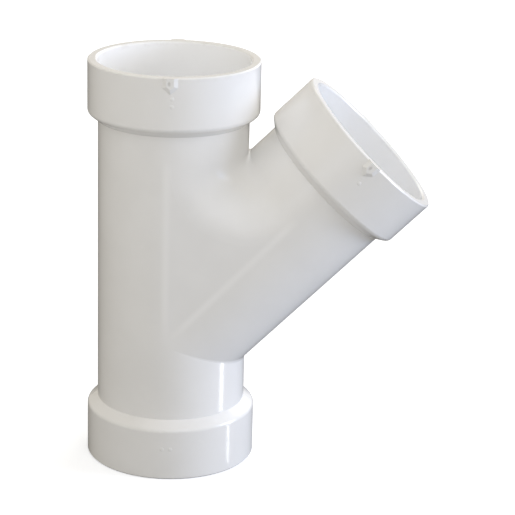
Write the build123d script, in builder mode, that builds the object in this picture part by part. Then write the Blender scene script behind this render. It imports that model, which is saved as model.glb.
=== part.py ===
from build123d import *
from math import radians, tan
import os

# Lateral wye for solvent welding, moulded in one piece.
# The run stands on its bottom mouth with +Z up the run, and the branch leans towards +X.
# The origin is the centre of the bottom mouth. Sizes are in millimetres.

# Sockets, which take the outside of a pipe
pipe_diameter = 60.3
socket_clearance = 0.15
socket_depth = 19.5
lead_in = 0.6

# Hubs around the sockets
hub_wall = 3.6
hub_height = 20.9
shoulder_height = 3.1
shoulder_round = 2.0
rim_chamfer = 0.5

# Body and its waterway
waterway_diameter = 52.0
body_wall = 3.8
branch_angle = 45
crotch_radius = 0.4
heel_round = 2.0

# Reach of each mouth from the point where the two axes cross
bottom_reach = 54.4
top_reach = 109.3
branch_reach = 110.1

# Alignment marks on the rims of the top and the branch, on both of their flat sides
mark_count = 2
mark_width = 5.9
mark_height = 6.5
mark_straight = 3.8
mark_rise = 1.0
mark_side = 1.5
mark_root = 1.0

socket_radius = pipe_diameter / 2 + socket_clearance
hub_radius = socket_radius + hub_wall
waterway_radius = waterway_diameter / 2
body_radius = waterway_radius + body_wall
shoulder_end = hub_height + shoulder_height

# Each mouth's plane faces out of the fitting, and its local X lies in the plane of the axes.
crossing = Plane.XY.offset(bottom_reach)
branch_line = crossing.rotated((0, branch_angle, 0))
bottom_mouth = Plane(origin=(0, 0, 0), x_dir=(-1, 0, 0), z_dir=(0, 0, -1))
top_mouth = crossing.offset(top_reach)
branch_mouth = branch_line.offset(branch_reach)

# The saddle between run and branch is a bend of the same tube as both of them.
# Its middle line is an arc that touches both axes, this far from where they cross.
bend_radius = body_radius + crotch_radius
bend_start = bend_radius / tan(radians(branch_angle / 2))


def wye_form(radius, shortening):
    """The run, the branch and the flat cheeks between them, all of one radius.

    Everything within `radius` of the area that the two axes and the saddle's arc enclose
    belongs to the form, so the outside and the waterway stay one wall thickness apart.
    The form stops short of each mouth by `shortening`.
    """
    saddle_start = crossing.offset(bend_start)
    with BuildPart() as form:
        with BuildSketch(bottom_mouth.offset(-shortening)):
            Circle(radius)
        extrude(amount=shortening * 2 - bottom_reach - top_reach)
        with BuildSketch(branch_line):
            Circle(radius)
        extrude(amount=branch_reach - shortening)
        with BuildSketch(Plane.XZ):
            with BuildLine():
                run_side = PolarLine((0, bottom_reach), bend_start, 90)
                branch_side = PolarLine((0, bottom_reach), bend_start, 90 - branch_angle)
                RadiusArc(run_side @ 1, branch_side @ 1, -bend_radius)
            make_face()
        extrude(amount=radius, both=True)
        with BuildSketch(saddle_start):
            Circle(radius)
            Rectangle(radius, radius * 2, align=(Align.MAX, Align.CENTER), mode=Mode.SUBTRACT)
        bend_axis = Axis((bend_radius, 0, bottom_reach + bend_start), (0, -1, 0))
        revolve(axis=bend_axis, revolution_arc=180 - branch_angle)
    return form.part


# One hub, solid, with its mouth at the origin and facing +Z
with BuildPart() as hub:
    with BuildSketch(Plane.XZ) as hub_profile:
        with BuildLine():
            Polyline(
                (0, 0),
                (hub_radius - rim_chamfer, 0),
                (hub_radius, -rim_chamfer),
                (hub_radius, -hub_height),
                (body_radius, -shoulder_end),
                (0, -shoulder_end),
                close=True,
            )
        make_face()
        outer_corners = hub_profile.vertices().group_by(Axis.X)[-1]
        fillet(outer_corners.sort_by(Axis.Y)[0], shoulder_round)
    revolve()

# The hollow of one socket, from its lead-in to the pipe's stop
with BuildPart() as socket:
    with BuildSketch(Plane.XZ):
        with BuildLine():
            Polyline(
                (0, 0),
                (socket_radius + lead_in, 0),
                (socket_radius, -lead_in),
                (socket_radius, -socket_depth),
                (0, -socket_depth),
                close=True,
            )
        make_face()
    revolve()

# One alignment mark, a boss that points down the hub and slopes at its sides
with BuildPart() as mark:
    with BuildSketch(Plane.YZ.offset(hub_radius - mark_root)):
        with BuildLine():
            Polyline(
                (-mark_width / 2, 0),
                (mark_width / 2, 0),
                (mark_width / 2, -mark_straight),
                (0, -mark_height),
                (-mark_width / 2, -mark_straight),
                close=True,
            )
        make_face()
    extrude(amount=mark_root + mark_rise)
    mark_face = mark.faces().sort_by(Axis.X)[-1]
    sloping = mark_face.edges().sort_by(Axis.Z)[:-1]
    chamfer(sloping, length=mark_side, length2=mark_rise, reference=mark_face)

with BuildPart() as wye_fitting:
    add(wye_form(body_radius, shoulder_end))
    heel = wye_fitting.edges().filter_by(GeomType.ELLIPSE)
    fillet(heel, heel_round)
    with Locations(bottom_mouth, top_mouth, branch_mouth):
        add(hub.part)
    with Locations(top_mouth, branch_mouth):
        with PolarLocations(0, mark_count, start_angle=90):
            add(mark.part)
    add(wye_form(waterway_radius, socket_depth), mode=Mode.SUBTRACT)
    with Locations(bottom_mouth, top_mouth, branch_mouth):
        add(socket.part, mode=Mode.SUBTRACT)

wye_fitting.part.label = "wye_fitting"
os.makedirs("parts", exist_ok=True)
export_step(wye_fitting.part, "parts/wye_fitting.step")
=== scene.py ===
import math

import bmesh
import bpy
from mathutils import Matrix, Vector


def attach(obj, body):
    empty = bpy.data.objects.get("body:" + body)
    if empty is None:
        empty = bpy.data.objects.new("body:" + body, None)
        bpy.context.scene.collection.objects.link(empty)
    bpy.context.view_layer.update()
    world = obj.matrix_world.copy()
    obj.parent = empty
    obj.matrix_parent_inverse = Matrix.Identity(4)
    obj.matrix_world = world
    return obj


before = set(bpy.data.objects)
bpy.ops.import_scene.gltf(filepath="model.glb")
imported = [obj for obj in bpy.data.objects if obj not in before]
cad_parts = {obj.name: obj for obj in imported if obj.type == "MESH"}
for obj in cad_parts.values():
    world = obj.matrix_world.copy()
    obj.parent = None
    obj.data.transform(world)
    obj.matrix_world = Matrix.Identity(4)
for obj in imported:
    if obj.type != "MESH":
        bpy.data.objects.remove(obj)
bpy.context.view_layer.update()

scene = bpy.context.scene
scene.view_settings.view_transform = "Standard"


# a maker of shader nodes that also wires their inputs
class Graph:
    def __init__(self, tree):
        self.tree = tree

    def node(self, kind, settings=None, inputs=None):
        made = self.tree.nodes.new(kind)
        for key, value in (settings or {}).items():
            setattr(made, key, value)
        for key, value in (inputs or {}).items():
            self.feed(made.inputs[key], value)
        return made

    def feed(self, target, value):
        if isinstance(value, bpy.types.NodeSocket):
            self.tree.links.new(value, target)
        else:
            target.default_value = value

    def math(self, operation, a, b=0.0, clamp=False):
        made = self.node("ShaderNodeMath", {"operation": operation, "use_clamp": clamp})
        self.feed(made.inputs[0], a)
        self.feed(made.inputs[1], b)
        return made.outputs[0]

    def vector(self, operation, a, b=(0.0, 0.0, 0.0), output="Vector"):
        made = self.node("ShaderNodeVectorMath", {"operation": operation}, {0: a, 1: b})
        return made.outputs[output]

    def ramp(self, value, fromLow, fromHigh, toLow=0.0, toHigh=1.0):
        made = self.node("ShaderNodeMapRange", {"interpolation_type": "SMOOTHSTEP"})
        for key, number in enumerate((value, fromLow, fromHigh, toLow, toHigh)):
            self.feed(made.inputs[key], number)
        return made.outputs[0]

    def noise(self, vector, scale, detail, rough):
        made = self.node("ShaderNodeTexNoise", inputs={
            "Vector": vector, "Scale": scale, "Detail": detail, "Roughness": rough})
        return made.outputs["Fac"]

    def blend(self, factor, first, second):
        made = self.node("ShaderNodeMix", {"data_type": "RGBA"})
        for key, value in ((0, factor), (6, first), (7, second)):
            self.feed(made.inputs[key], value)
        return made.outputs[2]

    def finish(self, kind, shader):
        self.feed(self.node(kind).inputs["Surface"], shader.outputs[0])


def newMaterial(name):
    material = bpy.data.materials.new(name)
    material.use_nodes = True
    material.node_tree.nodes.clear()
    return material, Graph(material.node_tree)


def newGroup(name, inputs, outputs):
    tree = bpy.data.node_groups.new(name, "ShaderNodeTree")
    for label, kind in inputs.items():
        tree.interface.new_socket(name=label, in_out="INPUT", socket_type="NodeSocket" + kind)
    for label in outputs:
        tree.interface.new_socket(name=label, in_out="OUTPUT", socket_type="NodeSocketFloat")
    g = Graph(tree)
    return tree, g, g.node("NodeGroupInput").outputs, g.node("NodeGroupOutput").inputs


# the fitting's own measures, in metres, in the frame of the solid
fitting = {
    "crossing": 0.0544,      # height of the point where the axes cross
    "branchLean": 45.0,      # degrees from the run
    "runTop": 0.1637,
    "belowFoot": -0.001,     # a height just under the bottom rim
    "branchReach": 0.1101,   # from the crossing to the branch's mouth
    "hubRadius": 0.0339,
    "bodyRadius": 0.0298,
    "boreRadius": 0.0262,    # just outside the waterway's wall
    "socketReach": 0.0215,   # a little past the socket's stop, from its mouth
    "socketStep": 0.0043,    # how much wider than the waterway a socket is
    "markFace": 0.0349,      # how far out a mark's face is
}
lean = math.radians(fitting["branchLean"])
upright = Matrix.Identity(4)
branchFrame = Matrix.Translation((0, 0, fitting["crossing"])) @ Matrix.Rotation(lean, 4, "Y")
print("fitting: measures ready")


# white moulded plastic
whitePlastic = {
    "light": (0.882, 0.877, 0.868, 1.0),
    "dark": (0.858, 0.853, 0.843, 1.0),
    "paintedBoreLight": (0.955, 0.957, 0.96, 1.0),     # painted light: lighter inside the waterway and sockets, in place of light bounced inside them
    "rubbed": (0.78, 0.77, 0.745, 1.0),
    "roughLow": 0.15,
    "roughHigh": 0.21,
    "ior": 1.5,
    "mottleSize": 0.022,
    "mottleNoise": (3.0, 0.55),              # detail and roughness, as in each noise below
    "mottleSpan": (0.32, 0.68),
    "grainSize": 0.0009,
    "grainNoise": (1.0, 0.5),
    "grainHeight": 0.0000012,
    "wavesPerMottle": 0.8,
    "wavesNoise": (1.0, 0.4),
    "wavesHeight": 0.000010,
    "wearReach": 0.003,
    "wearAmount": 0.35,
    "patchScale": 260.0,
    "patchNoise": (4.0, 0.65),
    "patchSpan": (0.48, 0.66),
}


# slow mottling, a fine grain and the slight flow waves of moulded plastic
def makeMouldSkin(look):
    tree, g, given, out = newGroup(
        "mouldSkin", {"Position": "Vector", "Mottle Size": "Float", "Grain Size": "Float"},
        ["Mottle", "Grain", "Waves"])
    place = given["Position"]
    slow = g.math("DIVIDE", 1.0, given["Mottle Size"])
    fast = g.math("DIVIDE", 1.0, given["Grain Size"])
    mottle = g.noise(place, slow, *look["mottleNoise"])
    g.feed(out["Mottle"], g.ramp(mottle, *look["mottleSpan"]))
    g.feed(out["Grain"], g.noise(place, fast, *look["grainNoise"]))
    wide = g.math("MULTIPLY", slow, look["wavesPerMottle"])
    g.feed(out["Waves"], g.noise(place, wide, *look["wavesNoise"]))
    return tree


# rubbing at a mouth: strongest in the mouth's own plane, broken up by noise
def makeRimWear(look):
    tree, g, given, out = newGroup(
        "rimWear",
        {"Position": "Vector", "Height To Mouth": "Float", "Reach": "Float", "Amount": "Float"},
        ["Wear"])
    near = g.ramp(given["Height To Mouth"], 0.0, given["Reach"], 1.0, 0.0)
    patches = g.noise(given["Position"], look["patchScale"], *look["patchNoise"])
    patches = g.ramp(patches, *look["patchSpan"])
    wear = g.math("MULTIPLY", g.math("MULTIPLY", near, patches), given["Amount"], clamp=True)
    g.feed(out["Wear"], wear)
    return tree


# what the mould leaves: witness lines, a seam, and a dimple in each alignment mark; the lines also
# carry a painted highlight and the dimples painted shade
mouldMarks = {
    "runLine": {"side": -0.00135, "slope": 0.0, "start": 0.0, "end": 0.080},
    "branchLine": {"side": -0.00183, "slope": -0.0203, "start": 0.0, "end": 0.076},
    "lineWidth": 0.0024,
    "lineFadeIn": 0.014,
    "lineFadeOut": 0.012,
    "lineHeight": 0.000010,
    # painted highlight: the witness lines are coloured lighter than the plastic, standing in for
    # the gloss along the raised line
    "paintedLineHighlight": (0.912, 0.907, 0.898, 1.0),
    "wallSlack": 0.0006,         # how far inside the tube's radius still counts as its outside
    "leastFacing": 0.003,        # below this a face doesn't look away from the axis
    "seamWidth": 0.0004,
    "seamHeight": 0.00003,
    "dimpleDrop": 0.0021,
    "dimpleSide": -0.0004,
    "dimpleSquash": 0.6,
    "dimpleCore": 0.0002,
    "dimpleEdge": 0.0008,
    "dimpleDepth": 0.00007,
    # painted shade: the dimples are coloured darker, standing in for the shade in the recess
    "paintedDimpleShade": (0.66, 0.65, 0.635, 1.0),
}


# the marks on one tube, from that tube's own position with +Z along its axis
def makeTubeMarks(marks):
    numbers = (
        "Mouth", "Tube Radius", "Line Side", "Line Slope", "Line Start", "Line End",
        "Bore Start", "Foot Socket", "Mark Face")
    tree, g, given, out = newGroup(
        "tubeMarks", {"Position": "Vector", "Normal": "Vector", **dict.fromkeys(numbers, "Float")},
        ["Witness Line", "Dimple", "Below Mouth", "Bore"])
    x, y, z = g.node("ShaderNodeSeparateXYZ", inputs={0: given["Position"]}).outputs
    flat = g.vector("MULTIPLY", given["Position"], (1.0, 1.0, 0.0))
    radius = g.vector("LENGTH", flat, output="Value")
    facing = g.vector("DOT_PRODUCT", flat, given["Normal"], "Value")
    innermost = g.math("SUBTRACT", given["Tube Radius"], marks["wallSlack"])
    outside = g.math("MULTIPLY", g.math("GREATER_THAN", radius, innermost),
                     g.math("GREATER_THAN", facing, marks["leastFacing"]))

    # the soft raised line where the flat cheek meets the tube
    lineAt = g.math("ADD", given["Line Side"], g.math("MULTIPLY", given["Line Slope"], z))
    fromLine = g.math("ABSOLUTE", g.math("SUBTRACT", x, lineAt))
    line = g.ramp(fromLine, 0.0, marks["lineWidth"], 1.0, 0.0)
    fullFrom = g.math("ADD", given["Line Start"], marks["lineFadeIn"])
    fullTo = g.math("SUBTRACT", given["Line End"], marks["lineFadeOut"])
    begins = g.ramp(z, given["Line Start"], fullFrom)
    ends = g.ramp(z, fullTo, given["Line End"], 1.0, 0.0)
    line = g.math("MULTIPLY", g.math("MULTIPLY", line, outside), g.math("MULTIPLY", begins, ends))
    g.feed(out["Witness Line"], line)

    # one oval dimple in the face of each mark
    below = g.math("SUBTRACT", given["Mouth"], z)
    drop = g.math("SUBTRACT", below, marks["dimpleDrop"])
    inset = g.node("ShaderNodeCombineXYZ", inputs={
        0: g.math("SUBTRACT", x, marks["dimpleSide"]),
        1: g.math("SUBTRACT", g.math("ABSOLUTE", y), given["Mark Face"]),
        2: g.math("MULTIPLY", drop, marks["dimpleSquash"])})
    away = g.vector("LENGTH", inset.outputs[0], output="Value")
    g.feed(out["Dimple"], g.ramp(away, marks["dimpleCore"], marks["dimpleEdge"], 1.0, 0.0))
    g.feed(out["Below Mouth"], g.math("ABSOLUTE", below))

    # the waterway and the sockets, which the mould's cores shape; this mask lightens them as
    # painted light and keeps the seam off them
    inSocket = g.math("MAXIMUM", g.math("LESS_THAN", below, fitting["socketReach"]),
                      g.math("LESS_THAN", z, given["Foot Socket"]))
    widening = g.math("MULTIPLY", inSocket, fitting["socketStep"])
    reach = g.math("ADD", widening, fitting["boreRadius"])
    bore = g.math("MULTIPLY", g.math("LESS_THAN", radius, reach),
                  g.math("LESS_THAN", facing, marks["leastFacing"]))
    g.feed(out["Bore"], g.math("MULTIPLY", bore, g.math("GREATER_THAN", z, given["Bore Start"])))
    return tree


mouldSkin = makeMouldSkin(whitePlastic)
rimWear = makeRimWear(whitePlastic)
tubeMarks = makeTubeMarks(mouldMarks)
print("node groups: mould skin, rim wear, tube marks")


def skinOf(g, place, look):
    return g.node("ShaderNodeGroup", {"node_tree": mouldSkin}, {
        "Position": place, "Mottle Size": look["mottleSize"],
        "Grain Size": look["grainSize"]}).outputs


def roughOf(g, skin, look):
    return g.ramp(skin["Mottle"], 0.0, 1.0, look["roughLow"], look["roughHigh"])


def plasticShader(g, colour, rough, height, look):
    bump = g.node("ShaderNodeBump", inputs={"Strength": 1.0, "Distance": 1.0, "Height": height})
    shader = g.node("ShaderNodeBsdfPrincipled", inputs={
        "Base Color": colour, "Roughness": rough, "IOR": look["ior"], "Normal": bump.outputs[0]})
    g.finish("ShaderNodeOutputMaterial", shader)


def makeFittingPlastic(look, marks):
    material, g = newMaterial("whitePlasticOfFitting")
    coordinates = g.node("ShaderNodeTexCoord").outputs
    place, normal = coordinates["Object"], coordinates["Normal"]
    skin = skinOf(g, place, look)
    rough = roughOf(g, skin, look)
    colour = g.blend(skin["Mottle"], look["light"], look["dark"])
    height = g.math("ADD", g.math("MULTIPLY", skin["Waves"], look["wavesHeight"]),
                    g.math("MULTIPLY", skin["Grain"], look["grainHeight"]))

    # the run as it stands, and the branch turned upright about the crossing
    crossing = fitting["crossing"]
    runPlace = g.vector("SUBTRACT", place, (0.0, 0.0, crossing))
    branchPlace, branchNormal = [
        g.node("ShaderNodeVectorRotate", {"rotation_type": "Y_AXIS"},
               {"Vector": vector, "Angle": -lean}).outputs[0]
        for vector in (runPlace, normal)]
    runTube = {
        "Position": runPlace, "Normal": normal, "Mouth": fitting["runTop"] - crossing,
        "Bore Start": fitting["belowFoot"] - crossing,
        "Foot Socket": fitting["socketReach"] - crossing}
    branchTube = {                           # the branch has no mouth at its foot
        "Position": branchPlace, "Normal": branchNormal, "Mouth": fitting["branchReach"],
        "Bore Start": 0.0, "Foot Socket": 0.0}
    found = []
    for tube, line in ((runTube, marks["runLine"]), (branchTube, marks["branchLine"])):
        found.append(g.node("ShaderNodeGroup", {"node_tree": tubeMarks}, {
            "Tube Radius": fitting["bodyRadius"], "Mark Face": fitting["markFace"],
            "Line Side": line["side"], "Line Slope": line["slope"],
            "Line Start": line["start"], "Line End": line["end"], **tube}).outputs)
    onRun, onBranch = found
    lines, dimples, bores = [
        g.math("MAXIMUM", onRun[label], onBranch[label])
        for label in ("Witness Line", "Dimple", "Bore")]

    # the mould's seam runs round the outside, in the plane of the two axes
    _, across, foot = g.node("ShaderNodeSeparateXYZ", inputs={0: place}).outputs
    seam = g.ramp(g.math("ABSOLUTE", across), 0.0, marks["seamWidth"], 1.0, 0.0)
    seam = g.math("MULTIPLY", seam, g.math("SUBTRACT", 1.0, bores))

    # painted light: the bores get the lighter colour, standing in for light bounced inside them
    colour = g.blend(bores, colour, look["paintedBoreLight"])
    for toMouth in (onRun["Below Mouth"], onBranch["Below Mouth"], g.math("ABSOLUTE", foot)):
        wear = g.node("ShaderNodeGroup", {"node_tree": rimWear}, {
            "Position": place, "Height To Mouth": toMouth,
            "Reach": look["wearReach"], "Amount": look["wearAmount"]}).outputs["Wear"]
        colour = g.blend(wear, colour, look["rubbed"])
    # painted highlight along the witness lines, on top of their real raised bump
    colour = g.blend(lines, colour, marks["paintedLineHighlight"])
    # painted shade in each dimple, with its real hollow made by the bump
    colour = g.blend(dimples, colour, marks["paintedDimpleShade"])
    for mask, rise in ((lines, marks["lineHeight"]), (seam, marks["seamHeight"]),
                       (dimples, -marks["dimpleDepth"])):
        height = g.math("ADD", height, g.math("MULTIPLY", mask, rise))
    plasticShader(g, colour, rough, height, look)
    return material


def makePipPlastic(look):
    material, g = newMaterial("whitePlasticOfPips")
    skin = skinOf(g, g.node("ShaderNodeTexCoord").outputs["Object"], look)
    colour = g.blend(skin["Mottle"], look["light"], look["dark"])
    height = g.math("MULTIPLY", skin["Grain"], look["grainHeight"])
    plasticShader(g, colour, roughOf(g, skin, look), height, look)
    return material


plasticOfFitting = makeFittingPlastic(whitePlastic, mouldMarks)
plasticOfPips = makePipPlastic(whitePlastic)
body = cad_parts["wye_fitting"]
body.data.materials.clear()
body.data.materials.append(plasticOfFitting)
print("materials: white plastic on the fitting and for its pips")


# moulded pips, the small round bumps that the mould leaves on the hubs
pips = {
    "radius": 0.0008,
    "rise": 0.00012,
    "sunk": 0.0002,
    "rings": 5,
    "segments": 20,
    # degrees round from the front, and distance from the mouth
    "onTop": ((1.3, 0.0081), (1.3, 0.0111)),
    "onBottom": ((-3.0, 0.0129), (2.65, 0.0129)),
    "onBranch": ((2.1, 0.0094),),
}


def addPip(name, foot, outward):
    made = bmesh.new()
    segments = pips["segments"]
    around = [math.tau * k / segments for k in range(segments)]
    rows = []
    for ring in range(pips["rings"]):
        turn = math.pi / 2 * ring / pips["rings"]
        wide = pips["radius"] * math.cos(turn)
        tall = pips["rise"] * math.sin(turn)
        rows.append([
            made.verts.new((wide * math.cos(a), wide * math.sin(a), tall)) for a in around])
    tip = made.verts.new((0, 0, pips["rise"]))
    skirt = [made.verts.new((v.co.x, v.co.y, -pips["sunk"])) for v in rows[0]]
    pairs = [(k, (k + 1) % segments) for k in range(segments)]
    for lower, upper in zip([skirt] + rows[:-1], rows):
        for k, after in pairs:
            made.faces.new((lower[k], lower[after], upper[after], upper[k]))
    for k, after in pairs:
        made.faces.new((rows[-1][k], rows[-1][after], tip))
    mesh = bpy.data.meshes.new(name)
    made.to_mesh(mesh)
    made.free()
    for face in mesh.polygons:
        face.use_smooth = True
    turnTo = outward.to_track_quat("Z", "Y").to_matrix().to_4x4()
    mesh.transform(Matrix.Translation(foot) @ turnTo)
    mesh.materials.append(plasticOfPips)
    pip = bpy.data.objects.new(name, mesh)
    scene.collection.objects.link(pip)
    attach(pip, "root")


def pipOn(name, tubeFrame, along, degreesRound):
    turn = math.radians(degreesRound)
    outward = Vector((math.sin(turn), -math.cos(turn), 0))
    foot = outward * fitting["hubRadius"] + Vector((0, 0, along))
    addPip(name, tubeFrame @ foot, (tubeFrame.to_3x3() @ outward).normalized())


for number, (degreesRound, drop) in enumerate(pips["onTop"], 1):
    pipOn(f"pipTop{number}", upright, fitting["runTop"] - drop, degreesRound)
for number, (degreesRound, drop) in enumerate(pips["onBottom"], 1):
    pipOn(f"pipBottom{number}", upright, drop, degreesRound)
for number, (degreesRound, drop) in enumerate(pips["onBranch"], 1):
    pipOn(f"pipBranch{number}", branchFrame, fitting["branchReach"] - drop, degreesRound)
print("pips:", len(pips["onTop"]) + len(pips["onBottom"]) + len(pips["onBranch"]))


# floor: seen as white with a soft shadow, and darker to all other rays
floorLook = {
    "size": 2.6,
    "seen": (0.85, 0.85, 0.85, 1.0),
    "lift": (0.40, 0.415, 0.44, 1.0),
    "bounce": (0.45, 0.45, 0.45, 1.0),
    "inGloss": (0.06, 0.06, 0.06, 1.0),
}
half = floorLook["size"] / 2
corners = [(-half, -half, 0), (half, -half, 0), (half, half, 0), (-half, half, 0)]
floorMesh = bpy.data.meshes.new("floor")
floorMesh.from_pydata(corners, [], [(0, 1, 2, 3)])
floor = bpy.data.objects.new("floor", floorMesh)
scene.collection.objects.link(floor)
floorMaterial, g = newMaterial("paleFloor")
rays = g.node("ShaderNodeLightPath").outputs
bounceColour = g.blend(rays["Is Glossy Ray"], floorLook["bounce"], floorLook["inGloss"])
bounce = g.node("ShaderNodeBsdfDiffuse", inputs={"Color": bounceColour})
seen = g.node("ShaderNodeBsdfDiffuse", inputs={"Color": floorLook["seen"]})
lift = g.node("ShaderNodeEmission", inputs={"Color": floorLook["lift"], "Strength": 1.0})
lifted = g.node("ShaderNodeAddShader", inputs={0: seen.outputs[0], 1: lift.outputs[0]})
g.finish("ShaderNodeOutputMaterial", g.node("ShaderNodeMixShader", inputs={
    0: rays["Is Camera Ray"], 1: bounce.outputs[0], 2: lifted.outputs[0]}))
floorMesh.materials.append(floorMaterial)
print("floor: pale, with the fitting's shadow")


# world: white where the camera looks past the fitting, plain warm light elsewhere
worldLook = {"colour": (1.0, 0.938, 0.830, 1.0), "strength": 0.637}
world = bpy.data.worlds.new("studio")
scene.world = world
world.use_nodes = True
world.node_tree.nodes.clear()
g = Graph(world.node_tree)
light = g.node("ShaderNodeBackground", inputs={
    "Color": worldLook["colour"], "Strength": worldLook["strength"]})
white = g.node("ShaderNodeBackground", inputs={"Color": (1, 1, 1, 1), "Strength": 1.0})
rays = g.node("ShaderNodeLightPath").outputs
g.finish("ShaderNodeOutputWorld", g.node("ShaderNodeMixShader", inputs={
    0: rays["Is Camera Ray"], 1: light.outputs[0], 2: white.outputs[0]}))
print("world: plain studio")


# lamps: soft boxes, a small fill for the top hub, and two low slats that only show
# as streaks in the plastic's gloss
middle = (0.0, 0.0, 0.09)
plainWhite = (1.0, 1.0, 1.0)
lamps = {
    "keyRight": {
        "place": (1.374, -0.100, 0.440), "aim": middle, "size": (0.6, 0.6),
        "watts": 8.6, "colour": (0.93, 0.94, 1.0)},
    "lowRight": {
        "place": (1.439, -0.126, 0.216), "aim": middle, "size": (0.8, 0.5),
        "watts": 4.5, "colour": (0.20, 0.46, 1.0)},
    "frontHigh": {
        "place": (0.0, -1.078, 0.780), "aim": middle, "size": (1.3, 1.3),
        "watts": 3.8, "colour": (0.76, 0.85, 1.0)},
    "leftFill": {
        "place": (-1.183, -0.683, 0.590), "aim": middle, "size": (1.3, 1.3),
        "watts": 0.9, "colour": (1.0, 0.92, 0.70)},
    "frontTop": {
        "place": (-0.22, -0.38, 0.32), "aim": (0.0, 0.0, 0.180), "size": (0.10, 0.10),
        "watts": 0.0044, "colour": plainWhite, "spread": 30, "noStreak": True},
    "backRight": {
        "place": (0.628, 1.088, 0.815), "aim": middle, "size": (1.0, 1.0),
        "watts": 6.0, "colour": plainWhite},
    "slatFar": {
        "place": (0.085, -0.0222, 0.0130), "aim": (-0.010, -0.0222, 0.0439),
        "size": (0.0057, 0.026), "watts": 0.0008, "colour": plainWhite,
        "spread": 60, "streakOnly": True},
    "slatNear": {
        "place": (0.034, -0.0235, 0.0076), "aim": (-0.061, -0.0235, 0.0385),
        "size": (0.0012, 0.0148), "watts": 0.00005, "colour": plainWhite,
        "spread": 60, "streakOnly": True},
}
for name, look in lamps.items():
    lamp = bpy.data.lights.new(name, "AREA")
    lamp.shape = "RECTANGLE"
    lamp.size, lamp.size_y = look["size"]
    lamp.energy = look["watts"]
    lamp.color = look["colour"]
    lamp.spread = math.radians(look.get("spread", 180))    # a soft box shines all round
    holder = bpy.data.objects.new(name, lamp)
    toward = Vector(look["aim"]) - Vector(look["place"])
    turnTo = toward.to_track_quat("-Z", "Y").to_matrix().to_4x4()
    holder.matrix_world = Matrix.Translation(look["place"]) @ turnTo
    holder.visible_camera = False
    holder.visible_diffuse = not look.get("streakOnly", False)
    holder.visible_glossy = not look.get("noStreak", False)
    scene.collection.objects.link(holder)
print("lamps:", len(lamps))


# camera
view = {
    "target": (0.0342, 0.0, 0.0829),
    "azimuth": 0.16,
    "elevation": 18.33,
    "roll": 1.455,
    "distance": 0.8358,
    "lens": 145.62,
    "sensor": 36.0,
    "nearest": 0.01,
    "farthest": 20.0,
}
lensData = bpy.data.cameras.new("photoView")
lensData.lens = view["lens"]
lensData.sensor_width = view["sensor"]
lensData.clip_start = view["nearest"]
lensData.clip_end = view["farthest"]
camera = bpy.data.objects.new("photoView", lensData)
camera.matrix_world = (
    Matrix.Translation(view["target"])
    @ Matrix.Rotation(math.radians(view["azimuth"]), 4, "Z")
    @ Matrix.Rotation(math.radians(90 - view["elevation"]), 4, "X")
    @ Matrix.Rotation(math.radians(view["roll"]), 4, "Z")
    @ Matrix.Translation((0, 0, view["distance"]))
)
scene.collection.objects.link(camera)
scene.camera = camera
print("camera: at the photo's angle")
